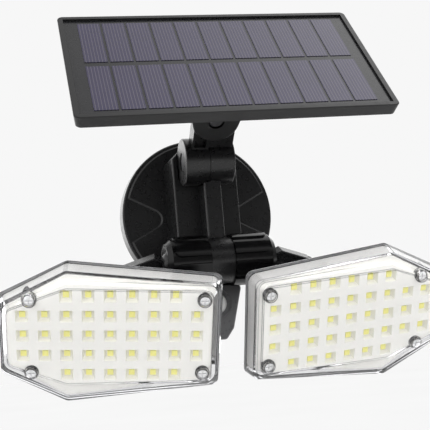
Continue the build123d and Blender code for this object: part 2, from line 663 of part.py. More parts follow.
def sensor_section(margin):
    """Tapered outline of the sensor housing, inset by a margin."""
    top = PILLAR_BOTTOM - margin
    points = [
        (-SENSOR_TOP_HALF + margin, top),
        (-SENSOR_LOW_HALF + margin, SENSOR_LOW_Z),
        (-SENSOR_FLOOR_HALF, SENSOR_BOTTOM + margin),
        (SENSOR_FLOOR_HALF, SENSOR_BOTTOM + margin),
        (SENSOR_LOW_HALF - margin, SENSOR_LOW_Z),
        (SENSOR_TOP_HALF - margin, top),
    ]
    return points


def sensor_housing():
    """Tapered pod under the pillar with a dish for the dome, open at the rear."""
    outer = rounded(sensor_section(0), SENSOR_CORNER)
    body = extrude(front_plane(SENSOR_REAR_Y) * outer, amount=SENSOR_REAR_Y - SENSOR_FRONT_Y)
    body = fillet(body.edges().group_by(Axis.Y)[0], SENSOR_FILLET)
    inner = Polygon(*sensor_section(SENSOR_WALL), align=None)
    body -= extrude(front_plane(SENSOR_REAR_Y) * inner, amount=SENSOR_REAR_Y - SENSOR_WALL_Y)
    body -= rod_y(DOME_R + DISH_MARGIN, SENSOR_FRONT_Y, SENSOR_FRONT_Y + DISH_DEPTH, 0, DOME_Z)
    body -= rod_y(DOME_R + FIT_GAP, SENSOR_FRONT_Y, SENSOR_WALL_Y, 0, DOME_Z)
    for x in (-SENSOR_SCREW_X, SENSOR_SCREW_X):
        body -= rod_z(SCREW_R + FIT_GAP, PILLAR_BOTTOM, SENSOR_SEAT, x, SENSOR_SCREW_Y)
    return body - rod_z(WIRE_HOLE_R, PILLAR_BOTTOM, SENSOR_SEAT, 0, SENSOR_SCREW_Y)


def sensor_cover():
    """Rear lid pushed into the sensor housing."""
    inner = Polygon(*sensor_section(SENSOR_WALL + FIT_GAP), align=None)
    return extrude(front_plane(SENSOR_REAR_Y) * inner, amount=SENSOR_WALL)


def sensor_screws():
    """Two screws that hang the sensor housing under the pillar."""
    screws = []
    for x in (-SENSOR_SCREW_X, SENSOR_SCREW_X):
        tip = SENSOR_SEAT + SENSOR_SCREW_L - FIT_GAP
        screw = rod_z(SCREW_R - FIT_GAP / 2, SENSOR_SEAT, tip, x, SENSOR_SCREW_Y)
        screw += rod_z(SCREW_HEAD_R, SENSOR_SEAT, SENSOR_SEAT - SCREW_HEAD_H, x, SENSOR_SCREW_Y)
        screws.append(one(screw))
    return Compound(children=screws)


def pir_dome():
    """Thin white lens dome with a flange behind the front wall."""
    front = SENSOR_FRONT_Y + DISH_DEPTH
    crown = front - DOME_RISE
    radius = (DOME_R**2 + DOME_RISE**2) / (2 * DOME_RISE)
    inner_r = DOME_R - DOME_WALL
    inner_radius = radius - DOME_WALL
    inner_y = crown + radius - sqrt(inner_radius**2 - inner_r**2)
    outside = Polyline(
        (DOME_R, front),
        (DOME_R, SENSOR_WALL_Y),
        (DOME_FLANGE_R, SENSOR_WALL_Y),
        (DOME_FLANGE_R, DOME_REAR_Y),
        (inner_r, DOME_REAR_Y),
        (inner_r, inner_y),
    )
    cap = CenterArc((0, crown + radius), radius, -90, degrees(asin(DOME_R / radius)))
    hollow = CenterArc((0, crown + radius), inner_radius, -90, degrees(asin(inner_r / inner_radius)))
    middle = Line((0, crown), (0, crown + DOME_WALL))
    section = make_face(outside.edges() + [cap, hollow, middle])
    return Pos(0, 0, DOME_Z) * revolve(section, Axis.Y)


def pir_sensor():
    """Metal can of the sensing element, on its board behind the dome."""
    rear = SENSOR_BOARD_FRONT_Y
    body = rod_y(PIR_R, rear - PIR_H, rear, 0, DOME_Z)
    return body + rod_y(PIR_R + PIR_BRIM_W, rear - PIR_BRIM_H, rear, 0, DOME_Z)


def sensor_board():
    """Board that carries the sensing element, against the dome's flange ring."""
    half = SENSOR_BOARD_HALF
    front = SENSOR_BOARD_FRONT_Y
    body = block(-half, half, front, front + SENSOR_BOARD_THICK, DOME_Z - half, DOME_Z + half)
    low = DOME_Z - SENSOR_LEG_HALF_Z
    high = DOME_Z + SENSOR_LEG_HALF_Z
    for x in (SENSOR_LEG_INSET - half, half - SENSOR_LEG_INSET):
        body += block(x - SENSOR_LEG_HALF_X, x + SENSOR_LEG_HALF_X, DOME_REAR_Y, front, low, high)
    return body


# Panel hinge, link and bracket, modelled in the link's frame: X across, Y up the panel's slope, Z along
# the panel's normal, with the origin on the hinge axis

LINK = Pos(0, HINGE_Y, HINGE_Z) * Rot(PANEL_TILT, 0, 0)
ROLL = Pos(ROLL_X, 0, ROLL_HEIGHT) * Rot(0, PANEL_ROLL, 0) * Pos(-ROLL_X, 0, -ROLL_HEIGHT)
PANEL = LINK * ROLL


def panel_link():
    """Left hinge knuckle with a tongue that rises behind the ear."""
    knuckle = rod_x(BARREL_R, BARREL_LEFT, KNUCKLE_RIGHT)
    knuckle = fillet(knuckle.edges().group_by(Axis.X)[0], BARREL_FILLET)
    split = BARREL_SEAM - TONGUE_SEAM_GAP
    shape = Polygon(
        (TONGUE_LEFT, 0),
        (split, 0),
        (split, TONGUE_FOOT),
        (TONGUE_RIGHT, TONGUE_FOOT),
        (TONGUE_RIGHT, ROLL_HEIGHT),
        (TONGUE_LEFT, ROLL_HEIGHT),
        align=None,
    )
    shape += Pos(TONGUE_X, ROLL_HEIGHT) * Circle((TONGUE_RIGHT - TONGUE_LEFT) / 2)
    body = knuckle + extrude(front_plane(TONGUE_BACK) * shape, amount=TONGUE_THICK)
    pocket_left = TONGUE_LEFT + TONGUE_POCKET_LIP
    body -= block(
        pocket_left,
        pocket_left + TONGUE_POCKET_W,
        TONGUE_FRONT,
        TONGUE_FRONT + TONGUE_POCKET_DEPTH,
        TONGUE_FOOT,
        TONGUE_FOOT + TONGUE_POCKET_H,
    )
    body -= rod_x(BOLT_R + FIT_GAP, BARREL_LEFT, KNUCKLE_RIGHT)
    body -= hex_x(NUT_FLATS + 2 * FIT_GAP, BARREL_LEFT, NUT_LEFT + NUT_HEIGHT)
    return body - rod_y(BOLT_R + RUN_GAP, TONGUE_FRONT, TONGUE_BACK, ROLL_X, ROLL_HEIGHT)


def hinge_bolt():
    """Hex bolt through both knuckles."""
    return rod_x(BOLT_R, NUT_LEFT, HEAD_LEFT) + hex_x(NUT_FLATS, HEAD_LEFT, HEAD_LEFT + HEX_HEAD_HEIGHT)


def hinge_nut():
    """Hex nut in the left knuckle's pocket."""
    right = NUT_LEFT + NUT_HEIGHT
    return hex_x(NUT_FLATS, NUT_LEFT, right) - rod_x(BOLT_R + FIT_GAP, NUT_LEFT, right)


def flange_screw_places():
    """Places of the bracket's screws under the panel."""
    reach = FLANGE_HALF_X - FLANGE_SCREW_INSET_X
    rows = (FLANGE_FRONT + FLANGE_SCREW_INSET_Y, FLANGE_REAR - FLANGE_SCREW_INSET_Y)
    return [(x, s) for x in (-reach, reach) for s in rows]


def panel_bracket():
    """Ear with a round end on a flange that is screwed under the panel."""
    round_end = Pos(ROLL_X, ROLL_HEIGHT) * Circle(EAR_R)
    root = Pos(ROLL_X, BRACKET_BOTTOM + FLANGE_THICK / 4) * Rectangle(2 * EAR_FLARE_HALF, FLANGE_THICK / 2)
    tab = make_hull(round_end.edges() + root.edges())
    body = extrude(front_plane(EAR_BACK) * tab, amount=EAR_THICK)
    body = fillet(body.edges().group_by(Axis.Y)[0], EAR_FILLET)
    body += block(-FLANGE_HALF_X, FLANGE_HALF_X, FLANGE_FRONT, FLANGE_REAR, BRACKET_BOTTOM, PANEL_BOTTOM)
    recess_r = BOLT_HEAD_R + BOLT_RECESS_GAP
    body -= rod_y(recess_r, EAR_FRONT, EAR_FRONT + BOLT_RECESS_DEPTH, ROLL_X, ROLL_HEIGHT)
    body -= rod_y(BOLT_R + FIT_GAP, EAR_FRONT, EAR_BACK, ROLL_X, ROLL_HEIGHT)
    for x, s in flange_screw_places():
        body -= rod_z(SCREW_R + FIT_GAP, BRACKET_BOTTOM, PANEL_BOTTOM, x, s)
    return body


def roll_bolt():
    """Round-head bolt through the ear and the tongue."""
    seat = EAR_FRONT + BOLT_RECESS_DEPTH
    tail = TONGUE_BACK + MOVE_GAP + NUT_HEIGHT
    head = rod_y(BOLT_HEAD_R, seat - BOLT_HEAD_HEIGHT, seat, ROLL_X, ROLL_HEIGHT)
    head = fillet(head.edges().group_by(Axis.Y)[0], BOLT_HEAD_HEIGHT / 3)
    return head + rod_y(BOLT_R, seat, tail, ROLL_X, ROLL_HEIGHT)


def roll_nut():
    """Hex nut behind the tongue."""
    near = TONGUE_BACK + MOVE_GAP
    nut = Pos(ROLL_X, 0, ROLL_HEIGHT) * Rot(0, 0, 90) * hex_x(NUT_FLATS, near, near + NUT_HEIGHT)
    return nut - rod_y(BOLT_R + FIT_GAP, near, near + NUT_HEIGHT, ROLL_X, ROLL_HEIGHT)


def panel_screws():
    """Four screws from the bracket's flange into the panel frame."""
    screws = []
    for x, s in flange_screw_places():
        screw = rod_z(SCREW_R, BRACKET_BOTTOM, LAMINATE_BOTTOM - FIT_GAP, x, s)
        screw += rod_z(SCREW_HEAD_R, BRACKET_BOTTOM - SCREW_HEAD_H, BRACKET_BOTTOM, x, s)
        screws.append(one(screw))
    return Compound(children=screws)


def panel_frame():
    """Shallow tray with drafted walls that holds the solar laminate."""
    top = RectangleRounded(PANEL_W, PANEL_D, PANEL_CORNER)
    low = RectangleRounded(PANEL_W - 2 * PANEL_DRAFT, PANEL_D - 2 * PANEL_DRAFT, PANEL_CORNER)
    body = loft([Pos(0, 0, PANEL_BOTTOM) * low, Pos(0, 0, PANEL_TOP) * top], ruled=True)
    body = fillet(body.edges().group_by(Axis.Z)[-1], PANEL_EDGE)
    body -= Pos(0, 0, LAMINATE_BOTTOM) * extrude(Rectangle(PANEL_INNER_W, PANEL_INNER_D), amount=PANEL_H)
    body = Pos(PANEL_OFFSET_X, PANEL_SHIFT, 0) * body
    for x, s in flange_screw_places():
        body -= rod_z(SCREW_R + FIT_GAP / 2, PANEL_BOTTOM, LAMINATE_BOTTOM, x, s)
    return body


def solar_laminate():
    """Dark backing sheet of the solar panel."""
    face = Rectangle(PANEL_INNER_W - 2 * FIT_GAP, PANEL_INNER_D - 2 * FIT_GAP)
    return Pos(PANEL_OFFSET_X, PANEL_SHIFT, LAMINATE_BOTTOM) * extrude(face, amount=LAMINATE_THICK)


def solar_cells():
    """Two rows of thin cells on the backing sheet."""
    cells = []
    for row in (-1, 1):
        for column in range(CELL_COLUMNS):
            x = PANEL_OFFSET_X + (column - (CELL_COLUMNS - 1) / 2) * (CELL_W + CELL_GAP)
            s = PANEL_SHIFT + row * (CELL_L + CELL_ROW_GAP) / 2
            cell = Pos(x, s, LAMINATE_TOP + CELL_THICK / 2) * Box(CELL_W, CELL_L, CELL_THICK)
            cells.append(one(cell))
    return Compound(children=cells)


# Lock collar and ball joint, modelled for the right side in the ball's frame: X outward


def collar_sleeve(radius):
    """Round sleeve with a conical nose at its mouth."""
    section = Polygon(
        (COLLAR_START, 0),
        (COLLAR_START, radius),
        (COLLAR_REACH - COLLAR_NOSE_L, radius),
        (COLLAR_REACH, radius - COLLAR_NOSE_R),
        (COLLAR_REACH, 0),
        align=None,
    )
    return revolve(section, Axis.X)


def collar():
    """Ribbed lock nut with a flared mouth round the ball's neck."""
    body = collar_sleeve(COLLAR_R)
    sleeve = collar_sleeve(COLLAR_R + COLLAR_RIB_RISE)
    rib_stop = COLLAR_REACH - COLLAR_NOSE_L - COLLAR_RIB_BAND
    length = rib_stop - COLLAR_START
    pad = SlotOverall(2 * length, COLLAR_RIB_W)
    rib = Pos(COLLAR_START, 0, 0) * extrude(pad, amount=COLLAR_R + COLLAR_RIB_RISE) & sleeve
    for i in range(COLLAR_RIBS):
        body += Rot(360 * (i + 0.5) / COLLAR_RIBS, 0, 0) * rib
    throat = Polygon(
        (COLLAR_START, 0),
        (COLLAR_START, COLLAR_BORE_R),
        (COLLAR_REACH - COLLAR_LIP, COLLAR_BORE_R),
        (COLLAR_REACH - COLLAR_LIP / 2, MOUTH_R),
        (COLLAR_REACH, MOUTH_R + MOUTH_FLARE),
        (COLLAR_REACH, 0),
        align=None,
    )
    return body - revolve(throat, Axis.X)


def ball_cup():
    """Nylon liner that grips the ball behind its widest line."""
    body = rod_x(COLLAR_BORE_R - MOVE_GAP, -CUP_REAR, CUP_FRONT)
    body -= Sphere(BALL_R + BALL_GAP)
    return body - rod_x(CUP_HOLE_R, -CUP_REAR, 0)


def arm_section(reach, half_w, half_h):
    """Section of the arm across its axis, seen from the ball outward."""
    low_w = ARM_UNDER * half_w
    side = half_h - 2 * half_h * ARM_SIDE
    points = [
        (-half_w, half_h),
        (-half_w, side),
        (-low_w, -half_h),
        (low_w, -half_h),
        (half_w, side),
        (half_w, half_h),
    ]
    plane = Plane(origin=(reach, 0, 0), x_dir=(0, 1, 0), z_dir=(1, 0, 0))
    return plane * rounded(points, ARM_EDGE)


def head_arm():
    """Ball, neck and tapered arm that turns forward to a flange behind the head."""
    front = -LED_FORWARD + SHELL_DEPTH
    fall = Rot(0, ARM_DROP, 0)
    neck = arm_section(ARM_START, ARM_NECK_HALF_W, ARM_NECK_HALF)
    root = arm_section(ARM_ROOT, ARM_HALF_W, ARM_ROOT_HALF)
    end = arm_section(ARM_END, ARM_HALF_W, ARM_TIP_HALF)
    body = Sphere(BALL_R) + fall * loft([neck, root, end], ruled=True)
    tip = fall * Pos(ARM_END, 0, 0)
    body += tip * Sphere(ARM_ELBOW_R)
    elbow = Line(tip.position, (ARM_FLANGE_X, front, ARM_FLANGE_Z))
    body += sweep(Plane(tip.position, z_dir=elbow % 0) * Circle(ARM_ELBOW_R), path=elbow)
    flange = rod_y(ARM_FLANGE_R, front, front + ARM_FLANGE_THICK, ARM_FLANGE_X, ARM_FLANGE_Z)
    body += fillet(flange.edges().group_by(Axis.Y)[-1], ARM_FLANGE_THICK / 3)
    body -= rod_y(ARM_FLANGE_R, front, front - ARM_ELBOW_R, ARM_FLANGE_X, ARM_FLANGE_Z)
    for x, z in arm_screw_places():
        body -= rod_y(ARM_SCREW_R, front, front + ARM_SCREW_LENGTH - SHELL_WALL, x, z)
    return body


def arm_screw_places():
    """Places of the arm's screws round its flange."""
    places = []
    for i in range(ARM_SCREWS):
        turn = radians(90 + 360 * i / ARM_SCREWS)
        x = ARM_FLANGE_X + ARM_SCREW_CIRCLE * cos(turn)
        places.append((x, ARM_FLANGE_Z + ARM_SCREW_CIRCLE * sin(turn)))
    return places


def arm_screws():
    """Screws from inside the back shell into the arm's flange."""
    seat = -LED_FORWARD + SHELL_DEPTH - SHELL_WALL
    screws = []
    for x, z in arm_screw_places():
        screw = rod_y(ARM_SCREW_R - FIT_GAP / 2, seat, seat + ARM_SCREW_LENGTH - FIT_GAP, x, z)
        screw += rod_y(ARM_SCREW_HEAD_R, seat - ARM_SCREW_HEAD, seat, x, z)
        screws.append(one(screw))
    return Compound(children=screws)


# Flood head, modelled flat: X outward, Y up and Z forward from the LED plane


def outline(sizes, q, margin=0.0, corner=HEAD_CORNER_R):
    """Six-sided outline of the head at depth q, inset by a margin."""
    sides, top, low = sizes
    inner = margin - GRID_U - sides[0]
    outer = GRID_U + sides[1] - margin
    points = [
        (inner, margin - GRID_W - low[0]),
        (VERTEX_U, margin - GRID_W - low[1]),
        (outer, margin + LED_PITCH - GRID_W - low[2]),
        (outer, GRID_W - LED_PITCH + top[2] - margin),
        (VERTEX_U, GRID_W + top[1] - margin),
        (inner, GRID_W + top[0] - margin),
    ]
    return Pos(0, 0, q) * rounded(points, corner)


def screw_bores(radius, q0, q1):
    """Round tools at the four cover screws."""
    return [rod_z(radius, q0, q1, u, w) for u, w in COVER_SCREWS]


def led_places():
    """Centres of the LEDs: a short first and last row with long ones between."""
    short = range(SHORT_ROW_SKIP, SHORT_ROW_SKIP + SHORT_ROW_COLUMNS)
    places = []
    for row in range(LED_ROWS):
        columns = short if row in (0, LED_ROWS - 1) else range(LONG_ROW_COLUMNS)
        places += [(column * LED_PITCH - GRID_U, row * LED_PITCH - GRID_W) for column in columns]
    return places


def lens_cover():
    """Clear cover with a drafted wall, a double bevel and a flat pane."""
    sections = [
        outline(FLANGE_MARGINS, FLANGE_Q),
        outline(SHOULDER_MARGINS, SHOULDER_Q),
        outline(CREASE_MARGINS, CREASE_Q),
        outline(PANE_MARGINS, PANE_Q),
    ]
    outside = loft(sections, ruled=True)
    inner = [
        outline(FLANGE_MARGINS, FLANGE_Q, COVER_WALL),
        outline(SHOULDER_MARGINS, COVER_INNER_Q, COVER_WALL),
        outline(PANE_MARGINS, PANE_Q - COVER_PANE),
    ]
    body = outside - loft(inner, ruled=True)
    body += [boss & outside for boss in screw_bores(COVER_BOSS_R, TRAY_TOP + FIT_GAP, PANE_Q)]
    for bore in screw_bores(SCREW_R + FIT_GAP, TRAY_TOP, SCREW_HEAD_Q):
        body -= bore
    for bore in screw_bores(SCREW_HEAD_R + FIT_GAP, SCREW_HEAD_Q, 2 * PANE_Q):
        body -= bore
    return body


def cover_screws():
    """Four cross-slotted screws through the cover's bosses."""
    screws = []
    for u, w in COVER_SCREWS:
        screw = rod_z(SCREW_R - FIT_GAP / 2, SCREW_HEAD_Q - SCREW_LENGTH, SCREW_HEAD_Q, u, w)
        head = rod_z(SCREW_HEAD_R, SCREW_HEAD_Q, SCREW_HEAD_Q + SCREW_HEAD_H, u, w)
        screw += fillet(head.edges().group_by(Axis.Z)[-1], SCREW_HEAD_EDGE)
        top = SCREW_HEAD_Q + SCREW_HEAD_H
        reach = SCREW_SLOT_HALF
        half = SCREW_SLOT / 2
        screw -= block(u - reach, u + reach, w - half, w + half, top - SCREW_SLOT_DEPTH, top)
        screw -= block(u - half, u + half, w - reach, w + reach, top - SCREW_SLOT_DEPTH, top)
        screws.append(one(screw))
    return Compound(children=screws)


def head_seal():
    """Rubber ring between the cover and the back shell."""
    inset = FIT_GAP * 3
    body = extrude(outline(FLANGE_MARGINS, SHELL_TOP_Q, inset), amount=SEAL_THICK)
    return body - extrude(outline(FLANGE_MARGINS, SHELL_TOP_Q, COVER_WALL - FIT_GAP), amount=SEAL_THICK)


def reflector():
    """White tray that lines the cover, with a square funnel round each LED."""
    gap = COVER_WALL + TRAY_GAP
    tray = loft(
        [outline(FLANGE_MARGINS, FLANGE_Q, gap), outline(SHOULDER_MARGINS, TRAY_TOP, gap)],
        ruled=True,
    )
    tray -= loft(
        [outline(FLANGE_MARGINS, FLANGE_Q, gap + TRAY_WALL), outline(SHOULDER_MARGINS, 0, gap + TRAY_WALL)],
        ruled=True,
    )
    body = tray + extrude(outline(REFLECTOR_MARGINS, 0), amount=REFLECTOR_THICK)
    mouth = Pos(0, 0, REFLECTOR_THICK) * Rectangle(POCKET_TOP, POCKET_TOP)
    funnel = loft([Rectangle(POCKET_FLOOR, POCKET_FLOOR), mouth])
    body -= [Pos(u, w, 0) * funnel for u, w in led_places()]
    body -= screw_bores(SHELL_BOSS_R + MOVE_GAP, FLANGE_Q, 0)
    body -= screw_bores(SCREW_R + FIT_GAP, 0, TRAY_TOP)
    return body - screw_bores(COVER_BOSS_R + MOVE_GAP, TRAY_TOP, REFLECTOR_THICK)


def led_board():
    """White board under the LEDs."""
    body = extrude(outline(SHOULDER_MARGINS, -BOARD_THICK, BOARD_MARGIN), amount=BOARD_THICK)
    return body - screw_bores(SHELL_BOSS_R + MOVE_GAP, -BOARD_THICK, 0)


def leds():
    """Flat yellow LEDs on the board."""
    chips = [one(Pos(u, w, LED_H / 2) * Box(LED_SIZE, LED_SIZE, LED_H)) for u, w in led_places()]
    return Compound(children=chips)


def back_shell():
    """Dark tapered tray behind the boards, with screw bosses and board posts."""
    body = loft(
        [
            outline(FLANGE_MARGINS, SHELL_FLOOR_Q, SHELL_TAPER),
            outline(FLANGE_MARGINS, SHELL_TOP_Q, SHELL_MARGIN),
        ],
        ruled=True,
    )
    body -= loft(
        [
            outline(FLANGE_MARGINS, SHELL_INNER_Q, SHELL_TAPER + SHELL_WALL),
            outline(FLANGE_MARGINS, SHELL_TOP_Q, SHELL_MARGIN + SHELL_WALL),
        ],
        ruled=True,
    )
    body += screw_bores(SHELL_BOSS_R, SHELL_INNER_Q - FIT_GAP, -FIT_GAP)
    for bore in screw_bores(SCREW_R, SCREW_HEAD_Q - SCREW_LENGTH - FIT_GAP, 0):
        body -= bore
    for u in (-SHELL_POST_U, SHELL_POST_U):
        for w in (-SHELL_POST_W, SHELL_POST_W):
            body += rod_z(SHELL_POST_R, SHELL_INNER_Q - FIT_GAP, -BOARD_THICK, u, w)
    for x, z in arm_screw_places():
        u = x - LED_OUT
        w = z + LED_DROP
        body -= rod_z(ARM_SCREW_R + FIT_GAP, SHELL_FLOOR_Q, SHELL_INNER_Q, u, w)
    return body


# Assembly

HEAD = Pos(LED_OUT, -LED_FORWARD, -LED_DROP) * Rot(90, 0, 0)

flat_pieces = {
    "back_shell": back_shell(),
    "head_seal": head_seal(),
    "led_board": led_board(),
    "leds": leds(),
    "reflector": reflector(),
    "lens_cover": lens_cover(),
    "cover_screws": cover_screws(),
}
head_pieces = {name: HEAD * piece for name, piece in flat_pieces.items()}
head_pieces["head_arm"] = head_arm()
head_pieces["arm_screws"] = arm_screws()
joint_pieces = {"collar": collar(), "ball_cup": ball_cup()}

nodes = {
    "wall_plate": wall_plate(),
    "wall_seal": wall_seal(),
    "set_screws": set_screws(),
    "front_housing": front_housing(),
    "battery": battery(),
    "battery_holder": battery_holder(),
    "control_board": control_board(),
    "board_screws": board_screws(),
    "switch_board": switch_board(),
    "tact_switch": tact_switch(),
    "mode_button": mode_button(),
    "sensor_housing": sensor_housing(),
    "sensor_cover": sensor_cover(),
    "sensor_screws": sensor_screws(),
    "pir_dome": pir_dome(),
    "pir_sensor": pir_sensor(),
    "sensor_board": sensor_board(),
    "panel_link": LINK * panel_link(),
    "hinge_bolt": LINK * hinge_bolt(),
    "hinge_nut": LINK * hinge_nut(),
    "panel_bracket": PANEL * panel_bracket(),
    "roll_bolt": PANEL * roll_bolt(),
    "roll_nut": PANEL * roll_nut(),
    "panel_screws": PANEL * panel_screws(),
    "panel_frame": PANEL * panel_frame(),
    "solar_laminate": PANEL * solar_laminate(),
    "solar_cells": PANEL * solar_cells(),
}

for side, sign, pose in (("left", -1, LEFT_POSE), ("right", 1, RIGHT_POSE)):
    swivel, tilt, roll = pose
    ball = Pos(sign * BALL_X, HUB_Y, HUB_Z)
    turn = Rot(0, 0, swivel) * Rot(tilt, 0, 0) * Rot(0, roll, 0)
    for name, piece in joint_pieces.items():
        sided = piece if sign > 0 else mirror(piece, about=Plane.YZ)
        nodes[side + "_" + name] = ball * sided
    for name, piece in head_pieces.items():
        sided = piece if sign > 0 else mirror(piece, about=Plane.YZ)
        nodes[side + "_" + name] = ball * turn * sided

os.makedirs("parts", exist_ok=True)
for name, piece in nodes.items():
    export_step(piece, "parts/" + name + ".step")
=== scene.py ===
import json
import math

import bpy
from mathutils import Matrix, Vector


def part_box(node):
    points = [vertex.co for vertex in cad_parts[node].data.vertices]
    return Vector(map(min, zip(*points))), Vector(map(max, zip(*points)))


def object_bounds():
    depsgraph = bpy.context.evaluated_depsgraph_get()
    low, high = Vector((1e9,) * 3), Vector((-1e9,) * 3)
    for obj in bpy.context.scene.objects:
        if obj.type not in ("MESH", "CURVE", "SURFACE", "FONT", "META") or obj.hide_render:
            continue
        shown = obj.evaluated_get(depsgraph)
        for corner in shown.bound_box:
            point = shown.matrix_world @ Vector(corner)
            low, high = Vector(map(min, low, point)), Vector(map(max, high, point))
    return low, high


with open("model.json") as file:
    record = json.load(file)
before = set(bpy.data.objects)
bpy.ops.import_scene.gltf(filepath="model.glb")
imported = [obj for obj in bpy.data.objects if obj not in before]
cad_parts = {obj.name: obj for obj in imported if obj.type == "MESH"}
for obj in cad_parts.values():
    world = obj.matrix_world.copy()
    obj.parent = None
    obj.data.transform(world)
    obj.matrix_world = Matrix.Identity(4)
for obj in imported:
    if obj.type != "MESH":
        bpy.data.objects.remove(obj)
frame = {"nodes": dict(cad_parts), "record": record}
cad_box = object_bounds()
record = frame["record"]
nodes = frame["nodes"]

# Camera, fitted to the photograph's view of the light, in metres
CAMERA_AT = Vector((-0.12042, -0.54025, -0.07383))
CAMERA_RIGHT = Vector((0.96994, -0.22778, -0.08558))
CAMERA_UP = Vector((0.05197, -0.14967, 0.98737))
SENSOR_MM = 36.0
LENS_MM = 75.35
CLIP_END = 100.0

# Sky and floor, in metres
SKY_LIGHT = 2.5  # brightness that falls on the pieces
BACKDROP_TONE = 0.93
FLOOR_DROP = 0.25  # floor below the lowest piece
FLOOR_RADIUS = 8.0
FLOOR_SIDES = 96
FLOOR_TONE = BACKDROP_TONE / SKY_LIGHT
FLOOR_SPREAD = 0.004
FLOOR_CLOUD = 2.0
FLOOR_ROUGHNESS = 0.9

# Room that glossy faces mirror; each span is the direction over which its glow comes in
FRONT_GLOW = 0.14
REAR_GLOW = 2.2
REAR_SPAN = (0.3, 0.9)
SIDE_GLOW = 1.1
SIDE_SPAN = (-0.4, -0.85)
CEILING_GLOW = (0.6, 1.9)  # at its left and its right
CEILING_ACROSS = (0.05, 0.4)
CEILING_SPAN = (0.3, 0.85)

# Noise; all scales below are in features per metre
NOISE_SPAN = (0.3, 0.7)  # where most of its values lie
NOISE_DETAIL = 3.0
NOISE_ROUGHNESS = 0.55

# Moulded plastic and rubber
MOULDED_CLOUD = 70.0
MOULDED_GLOSS = 420.0
MOULDED_GLOSS_SPREAD = 0.05
MOULDED_SPREAD = 0.18  # how far the colour wanders
GRAIN = 3500.0
GRAIN_DETAIL = 2.0
GRAIN_DEPTH = 0.000005  # metres

# Steel
METAL_CLOUD = 300.0
METAL_DARKER = 0.85
SCRATCH = 2200.0
SCRATCH_SPREAD = 0.06

# Clear covers
COVER_IOR = 1.25
COVER_HAZE_SCALE = 160.0
COVER_HAZE = (0.0, 0.03)
COVER_TURN = (0.45, 0.8)  # cosine of a face's turn from the front, at a wall and at the pane
# Painted shade: grey painted on the cover's walls where they turn from the front, in place of the shade that
# refraction and reflection give them
WALL_PAINTED_SHADE = (0.74, 0.74, 0.75)
PANE_TINT = (0.985, 0.986, 0.988)
# Painted shade: dark colour painted in a fine line along the cover's edges, in place of the dark lines that
# refraction draws there
EDGE_PAINTED_SHADE = (0.2, 0.2, 0.21)
EDGE_LINE = 0.0007  # metres
EDGE_LEAN = (0.9998, 0.996)  # cosine of the rounding's lean, off an edge and on it
EDGE_SAMPLES = 8

# Solar cells
CELL_PITCH = 0.013236  # metres
CELL_LINES = 8
CELL_ACROSS = (1.0, 0.0, 0.0)
CELL_LINE_SPAN = (0.55, 0.95)
CELL_LINE = (0.052, 0.046, 0.061)
CELL_CLOUD = 45.0
CELL_DARKER = (0.016, 0.0136, 0.034)
CELL_LIGHTER = (0.022, 0.0188, 0.041)
CELL_GLOSS_SCALE = 120.0
CELL_GLOSS = (0.16, 0.24)

# LEDs
LED_GRAIN = 2600.0
LED_DARKER = (0.985, 0.935, 0.28)
LED_LIGHTER = (0.995, 0.965, 0.38)
LED_GLOSS_SCALE = 900.0
LED_GLOSS = (0.3, 0.42)

# Pieces whose look differs from the other pieces of their slot
OWN_LOOK = {"sensor_housing": "sensor_plastic", "panel_link": "housing_plastic"}


# Node helpers


def new_material(name):
    """A node material, returned with its tree and its shader."""
    material = bpy.data.materials.new(name)
    material.use_nodes = True
    tree = material.node_tree
    return material, tree, tree.nodes["Principled BSDF"]


def place(tree):
    """Position in the piece's own frame, in metres."""
    return tree.nodes.new("ShaderNodeTexCoord").outputs["Object"]


def noise(tree, scale, detail=NOISE_DETAIL):
    """Noise at so many features per metre."""
    node = tree.nodes.new("ShaderNodeTexNoise")
    node.inputs["Scale"].default_value = scale
    node.inputs["Detail"].default_value = detail
    node.inputs["Roughness"].default_value = NOISE_ROUGHNESS
    tree.links.new(place(tree), node.inputs["Vector"])
    return node.outputs["Fac"]


def remap(tree, value, span, to_low, to_high):
    """A value moved from a span to another range."""
    node = tree.nodes.new("ShaderNodeMapRange")
    node.inputs["From Min"].default_value = span[0]
    node.inputs["From Max"].default_value = span[1]
    node.inputs["To Min"].default_value = to_low
    node.inputs["To Max"].default_value = to_high
    tree.links.new(value, node.inputs["Value"])
    return node.outputs["Result"]


def uneven(tree, scale, low, high):
    """A value that wanders between two values, at so many features per metre."""
    return remap(tree, noise(tree, scale), NOISE_SPAN, low, high)


def blend(tree, factor, first, second):
    """A colour between two colours."""
    node = tree.nodes.new("ShaderNodeMix")
    node.data_type = "RGBA"
    for socket, colour in ((node.inputs[6], first), (node.inputs[7], second)):
        if isinstance(colour, bpy.types.NodeSocket):
            tree.links.new(colour, socket)
        else:
            socket.default_value = (*colour, 1.0)
    tree.links.new(factor, node.inputs[0])
    return node.outputs[2]


def math_node(tree, operation, first, second=0.0):
    """One arithmetic step."""
    node = tree.nodes.new("ShaderNodeMath")
    node.operation = operation
    for socket, value in zip(node.inputs, (first, second)):
        if isinstance(value, bpy.types.NodeSocket):
            tree.links.new(value, socket)
        else:
            socket.default_value = value
    return node.outputs[0]


def dot(tree, first, second):
    """Dot product of a vector with another vector or a fixed direction."""
    node = tree.nodes.new("ShaderNodeVectorMath")
    node.operation = "DOT_PRODUCT"
    tree.links.new(first, node.inputs[0])
    if isinstance(second, bpy.types.NodeSocket):
        tree.links.new(second, node.inputs[1])
    else:
        node.inputs[1].default_value = second
    return node.outputs["Value"]


def along(tree, origin, direction):
    """Distance from a point along a direction."""
    shift = tree.nodes.new("ShaderNodeVectorMath")
    shift.operation = "SUBTRACT"
    shift.inputs[1].default_value = origin
    tree.links.new(place(tree), shift.inputs[0])
    return dot(tree, shift.outputs[0], direction)


def bump(tree, shader, height, depth):
    """Relief of so many metres on a shader."""
    node = tree.nodes.new("ShaderNodeBump")
    node.inputs["Strength"].default_value = 1.0
    node.inputs["Distance"].default_value = depth
    tree.links.new(height, node.inputs["Height"])
    tree.links.new(node.outputs["Normal"], shader.inputs["Normal"])


# Materials


